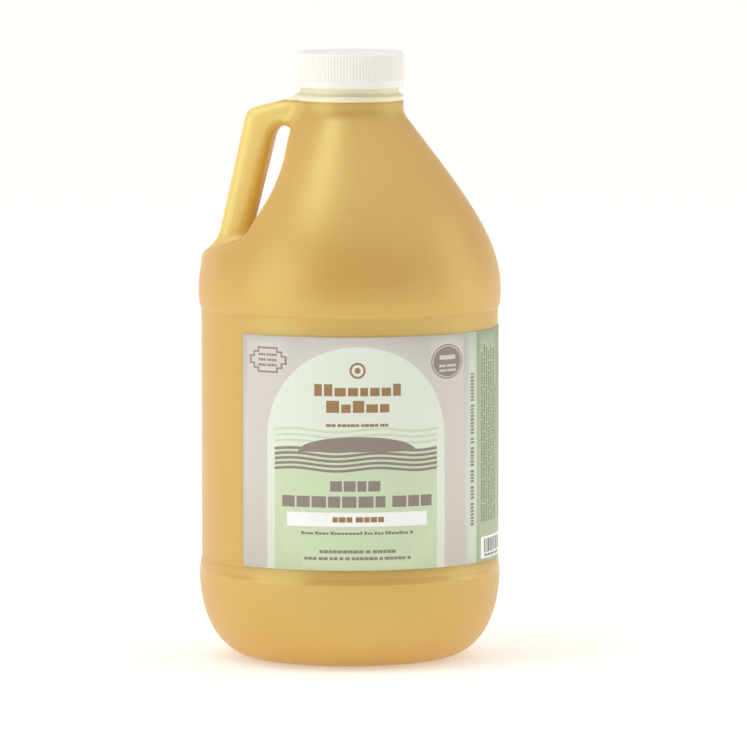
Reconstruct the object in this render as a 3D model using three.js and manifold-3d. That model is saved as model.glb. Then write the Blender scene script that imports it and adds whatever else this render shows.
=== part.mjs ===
// One-gallon round jug of massage oil: a blow-moulded jug with a hollow side
// handle, its fill of oil, a wrap-around label and a screw cap with its liner.
// Millimetres, +Z up, origin at the centre of the base. The label faces -Y and
// the handle points to -X, in the mould's parting plane y = 0.

import * as THREE from "three";
import { mergeVertices } from "three/addons/utils/BufferGeometryUtils.js";
import Module from "manifold-3d";

const wasm = await Module();
wasm.setup();

// ---------------------------------------------------------------- dimensions

const ROUND = 40; // segments round the jug
const CURVE_STEP = 11; // length of curve that one straight edge stands for, at least two to a curve
const CLEARANCE = 0.3; // air between two pieces that rest on each other
const OVERSHOOT = 1; // how far a cutter runs past what it cuts

// Jug body
const WALL = 1.2; // blow-moulded wall
const PUSH_UP = 6; // height of the base's dome above the foot
const FOOT_INNER_R = 35;
const FOOT_OUTER_R = 43;
const HEEL_R = 75.9; // bumper above the rounded heel
const HEEL_TOP = 49.3;
const HEEL_POWER = 2.4; // exponent of the heel's superellipse
const PANEL_R = 74.6; // recessed label panel
const PANEL_BOTTOM = 50.6;
const PANEL_TOP = 176;
const STEP_TOP = [75.5, 178.4]; // radius and height where the step above the panel ends
const SHOULDER_R = 76.05; // widest ring, above the panel
const SHOULDER_Z = 183.4;
const CONE_BOTTOM = [42.55, 254]; // radius and height where the shoulder runs out into the cone
const CONE_TOP = [29.7, 270.9];
const COLLAR_R = 27.1;
const COLLAR_BOTTOM = 276;
const COLLAR_TOP = 283.8;
const COLLAR_CHAMFER = 0.8;
const OIL_LEVEL = 281;

// Neck and its thread, 53 mm class with six threads to the inch
const NECK_R = 24.9;
const BORE_R = 23;
const LAND_Z = 302; // rim that the cap seals on
const PITCH = 25.4 / 6;
const THREAD_TURNS = 1.5;
const THREAD_HEIGHT = 1.2;
const THREAD_ROOT = 2.4; // width where the ridge is sunk in the wall
const THREAD_CREST = 0.9;
const THREAD_SUNK = 0.4; // depth of the ridge's root inside the wall
const THREAD_TIP = 0.15; // share of the full height that a ridge starts and ends with
const THREAD_RUN_OUT_DEG = 30; // angle over which each end fades into the wall
const THREAD_START_Z = 290.6;
const THREAD_START_DEG = 21.5;
const THREAD_STEPS = 24; // steps in one turn

// Handle and the finger gap behind it
const HANDLE_WIDTH = 22; // across the parting plane
const HANDLE_CORNER = 5.5;
const HANDLE_ROOT_X = -12; // where the arm ends, inside the neck's bore
const ARM_TOP = 284.1;
const HANDLE_FOOT = 194; // the grip's lower end, inside the body
const GAP_TOP = 277;
const GAP_FLOOR = 200.5;
const GAP_REACH = 90; // how far the gap's cutter runs out past the body

// Cap
const CAP_R = 27.4; // smooth skirt below the ribs
const RIB_ROOT_R = 27.3;
const CAP_BOTTOM = 287.6;
const CAP_TOP = 305.3;
const CAP_CORNER = 1.6;
const CAP_LIP = [0.2, 0.3]; // width and height of the chamfer round the open edge
const CAP_PLATE = 1.5;
const CAP_BORE_R = 26.45;
const RIB_COUNT = 108;
const RIB_R = 27.7;
const RIB_BOTTOM = 291.1;
const RIB_TOP = 303.5;

// Liner disc inside the cap
const LINER_R = 25.7;

// Label, by its angle from the front (-Y), counter-clockwise from above
const LABEL_START = -34.7;
const LABEL_END = 170;
const LABEL_BOTTOM = 51.5;
const LABEL_TOP = 167.5;
const LABEL_THICKNESS = 0.2;

// ----------------------------------------------------------------- materials

const hdpe = new THREE.MeshStandardMaterial({ color: 0xf3e6bd, roughness: 0.38, metalness: 0 });
const oil = new THREE.MeshStandardMaterial({ color: 0xd8b46a, roughness: 0.12, metalness: 0 });
const paper = new THREE.MeshStandardMaterial({ color: 0xcfdcc0, roughness: 0.55, metalness: 0 });
const capPlastic = new THREE.MeshStandardMaterial({ color: 0xf6f2ea, roughness: 0.42, metalness: 0 });
const foam = new THREE.MeshStandardMaterial({ color: 0xeeeae0, roughness: 0.8, metalness: 0 });

// ------------------------------------------------------------- solid helpers

// A closed three.js geometry as a manifold solid.
function solid(geometry) {
  const bare = geometry.clone();
  bare.deleteAttribute("normal");
  bare.deleteAttribute("uv");
  const merged = mergeVertices(bare, 1e-4);
  return new wasm.Manifold(
    new wasm.Mesh({
      numProp: 3,
      vertProperties: merged.getAttribute("position").array,
      triVerts: new Uint32Array(merged.index.array),
    }),
  );
}

function geometryOf(manifold) {
  const mesh = manifold.getMesh();
  const geometry = new THREE.BufferGeometry();
  geometry.setAttribute("position", new THREE.BufferAttribute(mesh.vertProperties, 3));
  geometry.setIndex(new THREE.BufferAttribute(mesh.triVerts, 1));
  geometry.computeVertexNormals();
  return geometry;
}

function piece(name, manifold, material) {
  const mesh = new THREE.Mesh(geometryOf(manifold), material);
  mesh.name = name;
  return mesh;
}

// Turns a profile of (radius, height) points, listed upwards, about the Z axis.
function turned(points, segments = ROUND, firstAngle = 0) {
  const geometry = new THREE.LatheGeometry(points, segments, firstAngle);
  return solid(geometry.rotateX(Math.PI / 2));
}

function disc(radius, bottom, top) {
  const profile = new THREE.Path();
  profile.moveTo(0, bottom);
  profile.lineTo(radius, bottom);
  profile.lineTo(radius, top);
  profile.lineTo(0, top);
  return turned(profile.getPoints(), ROUND, Math.PI / ROUND);
}

// Extrudes an outline drawn as (x, z) to both sides of the parting plane.
function acrossParting(shape, halfDepth, options = {}) {
  const settings = { depth: 2 * halfDepth, bevelEnabled: false, ...options };
  const geometry = new THREE.ExtrudeGeometry(shape, settings);
  geometry.translate(0, 0, -halfDepth);
  return solid(geometry.rotateX(Math.PI / 2));
}

function heading(from, to) {
  return new THREE.Vector2().subVectors(to, from).normalize();
}

// Moves a profile inwards by a distance, to the left of the way it is drawn.
// Points on the axis stay on it.
function insetProfile(points, distance) {
  const last = points.length - 1;
  return points.map((point, i) => {
    const ahead = heading(points[Math.min(i, last - 1)], points[Math.min(i + 1, last)]);
    const behind = i > 0 ? heading(points[i - 1], point) : ahead;
    const along = behind.add(ahead).normalize();
    const mitre = distance / along.dot(ahead);
    const x = point.x === 0 ? 0 : point.x - along.y * mitre;
    return new THREE.Vector2(x, point.y + along.x * mitre);
  });
}

// A thread ridge on a wall: a straight ridge wound onto a right-hand helix.
// A positive height stands out from the wall, and a negative one points inwards.
function threadRidge(wallRadius, height, startZ) {
  const root = THREAD_ROOT / 2;
  const crest = THREAD_CREST / 2;
  const sunk = -THREAD_SUNK * Math.sign(height);
  const section = new THREE.Shape();
  section.moveTo(sunk, -root);
  section.lineTo(height, -crest);
  section.lineTo(height, crest);
  section.lineTo(sunk, root);
  const length = THREAD_TURNS * 2 * Math.PI;
  const geometry = new THREE.ExtrudeGeometry(section, {
    depth: length,
    steps: THREAD_TURNS * THREAD_STEPS,
    bevelEnabled: false,
  });
  const position = geometry.getAttribute("position");
  const runOut = THREE.MathUtils.degToRad(THREAD_RUN_OUT_DEG);
  const first = THREE.MathUtils.degToRad(THREAD_START_DEG);
  for (let i = 0; i < position.count; i += 1) {
    const angle = length - position.getZ(i); // measured backwards, so that the faces point out
    const fade = Math.min(1, THREAD_TIP + Math.min(angle, length - angle) / runOut);
    const out = position.getX(i);
    const radius = wallRadius + (out * height > 0 ? out * fade : out);
    const z = startZ + position.getY(i) + (PITCH * angle) / (2 * Math.PI);
    position.setXYZ(i, radius * Math.cos(first + angle), radius * Math.sin(first + angle), z);
  }
  return solid(geometry);
}

// ------------------------------------------------------------------ outlines

// Half section of the jug without its handle, from the base's centre up to the
// collar, or with the neck on top up to its rim.
function bodyProfile(necked) {
  const profile = new THREE.Path();
  profile.moveTo(0, PUSH_UP);
  profile.quadraticCurveTo(26, PUSH_UP, FOOT_INNER_R, 0);
  profile.lineTo(FOOT_OUTER_R, 0);
  const lowerHalf = profile.getPoints(3);
  const heelSteps = 6;
  for (let i = 1; i <= heelSteps; i += 1) {
    const turn = (Math.PI / 2) * (1 - i / heelSteps);
    const reach = Math.cos(turn) ** (2 / HEEL_POWER);
    const drop = Math.sin(turn) ** (2 / HEEL_POWER);
    lowerHalf.push(new THREE.Vector2(
      FOOT_OUTER_R + (HEEL_R - FOOT_OUTER_R) * reach,
      HEEL_TOP * (1 - drop),
    ));
  }
  const upper = new THREE.Path();
  upper.moveTo(PANEL_R, PANEL_BOTTOM);
  upper.lineTo(PANEL_R, PANEL_TOP);
  upper.quadraticCurveTo(PANEL_R, 177.4, ...STEP_TOP);
  upper.lineTo(SHOULDER_R, SHOULDER_Z);
  upper.bezierCurveTo(SHOULDER_R, 201.6, 72.2, 215, ...CONE_BOTTOM);
  upper.lineTo(...CONE_TOP);
  upper.quadraticCurveTo(27.7, 273.4, COLLAR_R, COLLAR_BOTTOM);
  upper.lineTo(COLLAR_R, COLLAR_TOP - COLLAR_CHAMFER);
  upper.lineTo(COLLAR_R - COLLAR_CHAMFER, COLLAR_TOP);
  if (necked) {
    upper.lineTo(NECK_R, COLLAR_TOP);
    upper.lineTo(NECK_R, LAND_Z);
  }
  upper.lineTo(0, necked ? LAND_Z : COLLAR_TOP);
  return lowerHalf.concat(thinned(upper));
}

// A curve needs fewer points where it is short.
function thinned(path) {
  const points = [];
  for (const curve of path.curves) {
    const count = curve.type === "LineCurve" ? 1 : Math.max(2, Math.round(curve.getLength() / CURVE_STEP));
    points.push(...curve.getPoints(count).slice(points.length ? 1 : 0));
  }
  return points;
}

// Side view of the handle as (x, z): arm, outer edge, foot sunk in the body,
// then back up along the finger gap.
function handleShape() {
  const shape = new THREE.Shape();
  shape.moveTo(HANDLE_ROOT_X, ARM_TOP);
  shape.lineTo(-24.8, ARM_TOP);
  shape.lineTo(-31.8, 281.1);
  shape.lineTo(-46.4, 277.4);
  shape.bezierCurveTo(-50.8, 276.3, -51.9, 274.6, -52.7, 270.8);
  shape.lineTo(-64.8, 217);
  shape.quadraticCurveTo(-66.4, 209.5, -73, 201.2);
  shape.lineTo(-70, HANDLE_FOOT);
  shape.lineTo(-55.5, HANDLE_FOOT);
  shape.lineTo(-39, 260);
  shape.quadraticCurveTo(-37.9, 267.5, -32.2, 268);
  shape.lineTo(HANDLE_ROOT_X, 268.4);
  return shape;
}

// Side view of the material taken away behind the handle, as (x, z). Its wall
// follows the neck down, then swings out below the fingers.
function fingerGapShape(grow) {
  const wall = new THREE.SplineCurve([
    new THREE.Vector2(-26.8, GAP_TOP),
    new THREE.Vector2(-27.5, 262),
    new THREE.Vector2(-28, 250.5),
    new THREE.Vector2(-31.8, 237.1),
    new THREE.Vector2(-39.2, 223.6),
    new THREE.Vector2(-44.2, 215.6),
    new THREE.Vector2(-50.5, 211),
    new THREE.Vector2(-60.6, 207.8),
    new THREE.Vector2(-70.5, 204.2),
    new THREE.Vector2(-80, GAP_FLOOR),
  ]).getPoints(16);
  const grown = insetProfile(wall, grow);
  const shape = new THREE.Shape(grown);
  shape.lineTo(-GAP_REACH, GAP_FLOOR - grow);
  shape.lineTo(-GAP_REACH, GAP_TOP);
  return shape;
}

// ------------------------------------------------------------- jug and oil

function handle(inset) {
  const rounding = HANDLE_CORNER - inset;
  const half = HANDLE_WIDTH / 2 - HANDLE_CORNER;
  return acrossParting(handleShape(), half, {
    bevelEnabled: true,
    bevelSize: rounding,
    bevelThickness: rounding,
    bevelOffset: -HANDLE_CORNER,
    bevelSegments: 3,
    curveSegments: 5,
  });
}

// The jug as one solid, with every surface moved inwards by a distance.
function jugBody(inset, necked = false) {
  const body = turned(insetProfile(bodyProfile(necked), inset));
  const gap = acrossParting(fingerGapShape(inset), GAP_REACH);
  return body.subtract(gap).add(handle(inset));
}

function jugShell() {
  const thread = threadRidge(NECK_R, THREAD_HEIGHT, THREAD_START_Z);
  const bore = disc(BORE_R, COLLAR_BOTTOM, LAND_Z + OVERSHOOT);
  return jugBody(0, true).add(thread).subtract(jugBody(WALL)).subtract(bore);
}

function oilFill() {
  const aboveOil = disc(GAP_REACH, OIL_LEVEL, COLLAR_TOP + OVERSHOOT);
  return jugBody(WALL + CLEARANCE).subtract(aboveOil);
}

// -------------------------------------------------------------------- label

function wrapLabel() {
  const inner = PANEL_R + CLEARANCE;
  const outer = inner + LABEL_THICKNESS;
  const start = THREE.MathUtils.degToRad(LABEL_START - 90);
  const end = THREE.MathUtils.degToRad(LABEL_END - 90);
  const outline = new THREE.Shape();
  outline.absarc(0, 0, outer, start, end, false);
  outline.absarc(0, 0, inner, end, start, true);
  const geometry = new THREE.ExtrudeGeometry(outline, {
    depth: LABEL_TOP - LABEL_BOTTOM,
    curveSegments: 56,
    bevelEnabled: false,
  });
  geometry.translate(0, 0, LABEL_BOTTOM);
  return solid(geometry);
}

// ---------------------------------------------------------------- cap, liner

// Points on a closed ring, whose radius is a function of the point's number.
function ringPoints(count, radiusAt) {
  return Array.from({ length: count }, (_, i) => {
    const angle = (2 * Math.PI * i) / count;
    return new THREE.Vector2(radiusAt(i) * Math.cos(angle), radiusAt(i) * Math.sin(angle));
  });
}

// The ribs, on a ring that ends inside the cap's wall.
function ribbedBand() {
  const outline = new THREE.Shape(ringPoints(2 * RIB_COUNT, (i) => (i % 2 ? RIB_R : RIB_ROOT_R)));
  outline.holes.push(new THREE.Path(ringPoints(RIB_COUNT, () => (CAP_BORE_R + RIB_ROOT_R) / 2)));
  const geometry = new THREE.ExtrudeGeometry(outline, { depth: RIB_TOP - RIB_BOTTOM, bevelEnabled: false });
  geometry.translate(0, 0, RIB_BOTTOM);
  return solid(geometry);
}

function capShell() {
  const ceiling = CAP_TOP - CAP_PLATE;
  const profile = new THREE.Path();
  profile.moveTo(0, ceiling);
  profile.lineTo(CAP_BORE_R, ceiling);
  profile.lineTo(CAP_BORE_R, CAP_BOTTOM);
  profile.lineTo(CAP_R - CAP_LIP[0], CAP_BOTTOM);
  profile.lineTo(CAP_R, CAP_BOTTOM + CAP_LIP[1]);
  profile.lineTo(CAP_R, CAP_TOP - CAP_CORNER);
  profile.absarc(CAP_R - CAP_CORNER, CAP_TOP - CAP_CORNER, CAP_CORNER, 0, Math.PI / 2, false);
  profile.lineTo(0, CAP_TOP);
  // The cap's ridge runs in the neck's groove, half a pitch above its ridge.
  const ridge = threadRidge(CAP_BORE_R, -THREAD_HEIGHT, THREAD_START_Z + PITCH / 2);
  return turned(profile.getPoints(2), RIB_COUNT).add(ribbedBand()).add(ridge);
}

function capLiner() {
  return disc(LINER_R, LAND_Z + CLEARANCE, CAP_TOP - CAP_PLATE - CLEARANCE);
}

// ------------------------------------------------------------------ assembly

const jug = new THREE.Group();
jug.add(piece("jug_shell", jugShell(), hdpe));
jug.add(piece("massage_oil", oilFill(), oil));
jug.add(piece("wrap_label", wrapLabel(), paper));

const closure = new THREE.Group();
closure.add(piece("cap_shell", capShell(), capPlastic));
closure.add(piece("cap_liner", capLiner(), foam));

const part = new THREE.Group();
part.add(jug);
part.add(closure);

export default part;
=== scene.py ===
"""The looks of a one-gallon round jug of massage oil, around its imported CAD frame.

Lengths are in millimetres until a mesh is made, and in metres from there on.
"""
import math

import bpy
import numpy as np
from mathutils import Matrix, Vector
from mathutils.geometry import delaunay_2d_cdt


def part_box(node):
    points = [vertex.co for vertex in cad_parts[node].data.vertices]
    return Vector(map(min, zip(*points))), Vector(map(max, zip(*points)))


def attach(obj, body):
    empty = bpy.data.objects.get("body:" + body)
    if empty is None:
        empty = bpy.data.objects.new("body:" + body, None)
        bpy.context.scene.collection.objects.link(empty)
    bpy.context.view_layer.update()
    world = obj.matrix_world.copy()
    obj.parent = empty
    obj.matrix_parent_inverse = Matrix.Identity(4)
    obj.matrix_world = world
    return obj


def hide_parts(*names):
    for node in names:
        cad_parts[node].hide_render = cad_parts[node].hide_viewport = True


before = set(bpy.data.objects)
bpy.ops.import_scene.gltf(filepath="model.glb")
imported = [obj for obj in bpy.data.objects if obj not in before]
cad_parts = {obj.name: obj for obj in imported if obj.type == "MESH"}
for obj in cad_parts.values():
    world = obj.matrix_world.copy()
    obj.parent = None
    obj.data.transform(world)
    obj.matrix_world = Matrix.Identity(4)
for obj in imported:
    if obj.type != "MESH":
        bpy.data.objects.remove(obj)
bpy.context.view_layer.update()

MM = 0.001

# ---------------------------------------------------------------- dimensions
# They repeat the CAD's driving dimensions, in millimetres.
PUSH_UP, FOOT_INNER_R, FOOT_OUTER_R = 6.0, 35.0, 43.0
HEEL_R, HEEL_TOP, HEEL_POWER = 75.9, 49.3, 2.4
HEEL_CREST = 43.6  # height at which the heel is widest
PANEL_R, PANEL_TOP = 74.6, 176.0
SHOULDER_R, SHOULDER_Z = 76.05, 183.4
CONE_TOP = (29.7, 270.9)
COLLAR_R, COLLAR_BOTTOM, COLLAR_TOP = 27.1, 276.0, 283.8
NECK_R, BORE_R = 24.9, 23.0
PITCH, THREAD_TURNS, THREAD_HEIGHT = 25.4 / 6, 1.5, 1.2
THREAD_START_Z, THREAD_START = 290.6, math.radians(21.5)
THREAD_HALF_WIDTH, THREAD_FLANK, THREAD_RUN_OUT = 1.05, 0.55, math.radians(30)
HANDLE_HALF_WIDTH, HANDLE_CORNER = 11.0, 5.8
SCOOP_ROUNDING = 1.6
FILLET_HEIGHTS, FILLETS = (268, 283), (7.0, 1.5)  # the fillet round the handle shrinks upwards
RIB_COUNT, RIB_DEPTH = 108, 0.45
RIB_FOOT, RIB_HEAD = 3.3, 1.6  # plain strips below and above the ribs
RIB_FOOT_FADE, RIB_HEAD_FADE = 0.5, 0.4
RIB_POWER = 0.8  # below 1, it makes the ridges fuller than the grooves between them
CAP_CORNER_R, CAP_BORE_R, CAP_TOP_SINK, CEILING_GAP = 1.7, 26.45, 0.25, 0.3
LAND_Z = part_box("jug_shell")[1][2] / MM
OIL_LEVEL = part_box("massage_oil")[1][2] / MM
CAP_BOTTOM, CAP_TOP = (corner[2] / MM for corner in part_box("cap_shell"))
CAP_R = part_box("cap_shell")[1][0] / MM
LINER_BOTTOM, LINER_TOP = (corner[2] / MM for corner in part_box("cap_liner"))
LINER_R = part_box("cap_liner")[1][0] / MM
RIM_MARK_DEPTH = 0.12
LABEL_BOTTOM, LABEL_TOP = (corner[2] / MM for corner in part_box("wrap_label"))
LABEL_R = PANEL_R + 0.35
LABEL_HALF_THICKNESS = 0.1
LABEL_START = math.radians(-34.7)  # the label's left edge, from the front
LABEL_SPAN = math.radians(204.7)
BORE_FLOOR = OIL_LEVEL - 0.7  # the jug's solid is closed here, just under the oil's surface

# The weld across the base, where the mould pinched the tube shut
PINCH_HALF_WIDTH, PINCH_R, PINCH_DEPTH = 0.9, 27, 0.7

# Control points of the jug's outline, as (radius, height)
BUMPER_TOP, STEP_TOP = (74.98, 49.6), (75.5, 178.3)
BASE_CURVE = (3, PUSH_UP), (26, PUSH_UP), (FOOT_INNER_R - 1.5, 0.6)
FOOT_RING = [(FOOT_INNER_R - 0.6, 0.12), (FOOT_INNER_R, 0.0), (39.0, 0.0), (FOOT_OUTER_R - 1, 0.0)]
BUMPER_CURVE = (75.84, HEEL_CREST), (75.86, 44.6), (75.5, 45.4), (75.3, 47)
STEP_IN_CURVE = BUMPER_TOP, (74.87, 50.5), (PANEL_R, 50.4), (PANEL_R, 51.2)
STEP_OUT_CURVE = (PANEL_R, PANEL_TOP), (PANEL_R, 177.2), (75.35, 176.9), STEP_TOP
SHOULDER_FOOT = STEP_TOP, (75.8, 181), (SHOULDER_R, SHOULDER_Z)
CONE_CURVE = (SHOULDER_R, SHOULDER_Z), (SHOULDER_R, 201.6), (72.2, 215), (42.55, 254)
COLLAR_FOOT = CONE_TOP, (27.7, 273.4), (COLLAR_R, COLLAR_BOTTOM)
COLLAR_EDGE = (COLLAR_R, COLLAR_TOP - 1), (COLLAR_R, COLLAR_TOP), (COLLAR_R - 1.2, COLLAR_TOP + 0.1)
NECK_FOOT = COLLAR_EDGE[2], (NECK_R, COLLAR_TOP + 0.2), (NECK_R, COLLAR_TOP + 1.2)
RIM_EDGE = [(NECK_R, LAND_Z - 0.5), (NECK_R - 0.15, LAND_Z - 0.14), (NECK_R - 0.5, LAND_Z),
            (NECK_R - 0.9, LAND_Z), (BORE_R + 0.4, LAND_Z), (BORE_R + 0.1, LAND_Z - 0.12),
            (BORE_R, LAND_Z - 0.45)]

# Control points of the handle's side view, as (x, height)
HANDLE_ROOF = [(-12, 284.1), (-24.8, 284.1), (-31.8, 281.1), (-46.4, 277.4)]
HANDLE_ELBOW = (-46.4, 277.4), (-50.8, 276.3), (-51.9, 274.6), (-52.7, 270.8)
GRIP_FOOT = (-64.8, 217), (-66.4, 209.5), (-71.8, 202)
GRIP_INSIDE = [(-70, 194), (-55.5, 194), (-39, 260)]
GRIP_HEAD = (-39, 260), (-37.9, 267.5), (-32.2, 268)
HANDLE_ROOT = (-12, 268.4)
GAP_WALL = [(-26.8, 277), (-27.5, 262), (-28, 250.5), (-31.8, 237.1), (-39.2, 223.6),
            (-44.2, 215.6), (-50.5, 211), (-60.6, 207.8), (-70.5, 204.2), (-80, 200.5)]
GAP_FAR_X = -110

# The jug's mesh: plain rings below and above, and between these seams the modelled
# shoulder and handle, which are looked up in tables over the heights from TABLE_LOW to TABLE_HIGH
SHOULDER_SEAM, NECK_SEAM, SEAM_GAP = 186.5, 286.3, 0.2
TABLE_LOW, TABLE_HIGH = 175, 296
CORE_LOW, CORE_HIGH = 150, 310  # ends of the turned body, well outside the tables
CELL, QUICK_CELL, NECK_STEP, CAP_BORE_STEP = 1.4, 2.0, 0.3, 0.35
HALF_WAY, LEAST_SLOPE, LONGEST_MOVE = 0.5, 0.2, 0.6  # how the shoulder's vertices are evened out
HANDLE_GLOW_FADE = 9.0  # how far the handle's painted glow, a paler tint for light shining through its thin oil, runs out over the body
JUG_COLUMNS, CAP_COLUMNS, CAP_BORE_COLUMNS, LINER_COLUMNS = 240, RIB_COUNT * 8, RIB_COUNT * 8 // 3, 128


# ------------------------------------------------------------- mesh helpers
def make_object(name, vertices, faces, materials, face_materials=None):
    """A smooth-shaded mesh object from vertices in millimetres."""
    mesh = bpy.data.meshes.new(name)
    mesh.from_pydata((np.asarray(vertices) * MM).tolist(), [], faces)
    for material in materials:
        mesh.materials.append(material)
    if face_materials is not None:
        mesh.polygons.foreach_set("material_index", face_materials)
    mesh.polygons.foreach_set("use_smooth", [True] * len(mesh.polygons))
    mesh.update()
    made = bpy.data.objects.new(name, mesh)
    bpy.context.scene.collection.objects.link(made)
    return made


class Parts:
    """Vertices and faces gathered from several patches."""

    def __init__(self):
        self.vertices = []
        self.faces = []

    def add(self, vertices, faces=()):
        """Adds a patch, and returns the number of its first vertex."""
        start = len(self.vertices)
        self.vertices.extend(np.asarray(vertices).tolist())
        self.faces.extend([tuple(start + i for i in face) for face in faces])
        return start

    def rings(self, points):
        """A grid of rings, points[row][column], joined upwards; returns the first index of each row."""
        rows, columns = points.shape[:2]
        start = self.add(points.reshape(-1, 3))
        for row in range(rows - 1):
            low = start + row * columns
            for i in range(columns):
                j = (i + 1) % columns
                self.faces.append((low + i, low + j, low + columns + j, low + columns + i))
        return [start + row * columns for row in range(rows)]

    def fan(self, ring, columns, centre, up):
        """Closes a ring of points with a fan of triangles round its centre."""
        middle = self.add([centre])
        for i in range(columns):
            a, b = ring + i, ring + (i + 1) % columns
            self.faces.append((a, b, middle) if up else (b, a, middle))

    def zip_loops(self, lower, upper):
        """Joins two closed loops round the Z axis, given as vertex numbers, by the shorter diagonals."""
        def by_angle(loop):
            loop = sorted(loop, key=lambda n: math.atan2(self.vertices[n][1], self.vertices[n][0]))
            return loop + loop[:1]

        def gap(a, b):
            return math.dist(self.vertices[a], self.vertices[b])

        low, high = by_angle(lower), by_angle(upper)
        i = j = 0
        while i < len(low) - 1 or j < len(high) - 1:
            here, there = low[i], high[j]
            if j == len(high) - 1:
                step_low = True
            elif i == len(low) - 1:
                step_low = False
            else:
                step_low = gap(low[i + 1], there) <= gap(here, high[j + 1])
            if step_low:
                i += 1
                self.faces.append((here, low[i], there))
            else:
                j += 1
                self.faces.append((here, high[j], there))


def ring_points(profile, columns, radius_offset=None):
    """Points of a profile of (radius, height) turned about Z, as [row][column][xyz]."""
    angle = np.linspace(0, 2 * math.pi, columns, endpoint=False)
    radius = np.repeat(np.array([p[0] for p in profile])[:, None], columns, axis=1)
    height = np.repeat(np.array([p[1] for p in profile])[:, None], columns, axis=1)
    if radius_offset is not None:
        radius = radius + radius_offset(angle[None, :], height)
    return np.stack([radius * np.cos(angle), radius * np.sin(angle), height], axis=2)


def bezier(a, b, c, d, count):
    """Points of a cubic curve, both its ends included."""
    t = np.linspace(0, 1, count + 1)[:, None]
    a, b, c, d = (np.array(p, float) for p in (a, b, c, d))
    return ((1 - t) ** 3 * a + 3 * (1 - t) ** 2 * t * b + 3 * (1 - t) * t**2 * c + t**3 * d).tolist()


def quadratic(a, b, c, count):
    """Points of a quadratic curve, both its ends included."""
    t = np.linspace(0, 1, count + 1)[:, None]
    a, b, c = (np.array(p, float) for p in (a, b, c))
    return ((1 - t) ** 2 * a + 2 * (1 - t) * t * b + t**2 * c).tolist()


def line(a, b, count):
    """Points of a straight line, both its ends included."""
    return np.linspace(a, b, count + 1).tolist()


def spline(points, per_span):
    """A Catmull-Rom curve through points."""
    p = np.array(points, float)
    p = np.vstack([2 * p[0] - p[1], p, 2 * p[-1] - p[-2]])
    t = np.linspace(0, 1, per_span, endpoint=False)[:, None]
    spans = []
    for i in range(1, len(p) - 2):
        a, b, c, d = p[i - 1], p[i], p[i + 1], p[i + 2]
        spans.append(0.5 * (2 * b + (c - a) * t + (2 * a - 5 * b + 4 * c - d) * t**2
                            + (3 * b - a - 3 * c + d) * t**3))
    return np.vstack(spans + [p[-2:-1]]).tolist()


# ----------------------------------------------------------- jug's outlines
def lower_profile():
    """From the base's centre up to the seam below the shoulder."""
    points = quadratic(*BASE_CURVE, count=14) + FOOT_RING
    for turn in np.linspace(math.pi / 2, 0, 44):
        reach = math.cos(turn) ** (2 / HEEL_POWER)
        drop = math.sin(turn) ** (2 / HEEL_POWER)
        points.append((FOOT_OUTER_R + (HEEL_R - FOOT_OUTER_R) * reach, HEEL_TOP * (1 - drop)))
    # The bumper above the heel leans in a little, up to a small step into the panel.
    points = [(r, z) for r, z in points if z < HEEL_CREST - 0.5]
    points += bezier(*BUMPER_CURVE, count=6)
    points += line(BUMPER_CURVE[-1], BUMPER_TOP, count=3)[1:]
    points += bezier(*STEP_IN_CURVE, count=5)[1:]
    points += line(STEP_IN_CURVE[-1], STEP_OUT_CURVE[0], count=40)[1:]
    points += bezier(*STEP_OUT_CURVE, count=6)[1:]
    points += quadratic(*SHOULDER_FOOT, count=5)[1:]
    return points + [(SHOULDER_R, SHOULDER_SEAM)]


def upper_profile():
    """The half section round which the shoulder, collar and neck are modelled."""
    points = [(0, CORE_LOW), (SHOULDER_R, CORE_LOW)]
    points += bezier(*CONE_CURVE, count=40)
    points += quadratic(*COLLAR_FOOT, count=8)
    points += line(COLLAR_FOOT[-1], COLLAR_EDGE[0], count=2)[1:]
    points += quadratic(*COLLAR_EDGE, count=5)[1:]
    points += quadratic(*NECK_FOOT, count=5)[1:]
    return points + [(NECK_R, CORE_HIGH), (0, CORE_HIGH)]


def handle_outline():
    """Side view of the handle as (x, z)."""
    points = HANDLE_ROOF + bezier(*HANDLE_ELBOW, count=10)[1:]
    points += quadratic(*GRIP_FOOT, count=8)
    points += GRIP_INSIDE + quadratic(*GRIP_HEAD, count=8)[1:]
    return points + [HANDLE_ROOT]


def finger_gap_outline():
    """Side view of the space behind the handle as (x, z)."""
    return spline(GAP_WALL, per_span=8) + [(GAP_FAR_X, GAP_WALL[-1][1]), (GAP_FAR_X, GAP_WALL[0][1])]


class OutlineField:
    """Signed distance to a closed outline, looked up in a fine table."""

    STEP = 0.4

    def __init__(self, outline, low, high):
        self.low = np.array(low, float)
        counts = [int((h - l) / self.STEP) + 2 for l, h in zip(low, high)]
        u = low[0] + self.STEP * np.arange(counts[0])[:, None]
        v = low[1] + self.STEP * np.arange(counts[1])[None, :]
        nearest = np.full(counts, np.inf)
        inside = np.zeros(counts, bool)
        for (au, av), (bu, bv) in zip(outline, outline[1:] + outline[:1]):
            eu, ev = bu - au, bv - av
            length2 = max(eu * eu + ev * ev, 1e-12)
            t = np.clip(((u - au) * eu + (v - av) * ev) / length2, 0, 1)
            nearest = np.minimum(nearest, np.hypot(u - au - t * eu, v - av - t * ev))
            if av != bv:
                inside ^= ((av > v) != (bv > v)) & (u < (bu - au) * (v - av) / (bv - av) + au)
        self.table = np.where(inside, -nearest, nearest)

    def __call__(self, u, v):
        a = np.clip((u - self.low[0]) / self.STEP, 0, self.table.shape[0] - 1.001)
        b = np.clip((v - self.low[1]) / self.STEP, 0, self.table.shape[1] - 1.001)
        i, j = a.astype(int), b.astype(int)
        fa, fb = a - i, b - j
        t = self.table
        return ((t[i, j] * (1 - fa) + t[i + 1, j] * fa) * (1 - fb)
                + (t[i, j + 1] * (1 - fa) + t[i + 1, j + 1] * fa) * fb)


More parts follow.
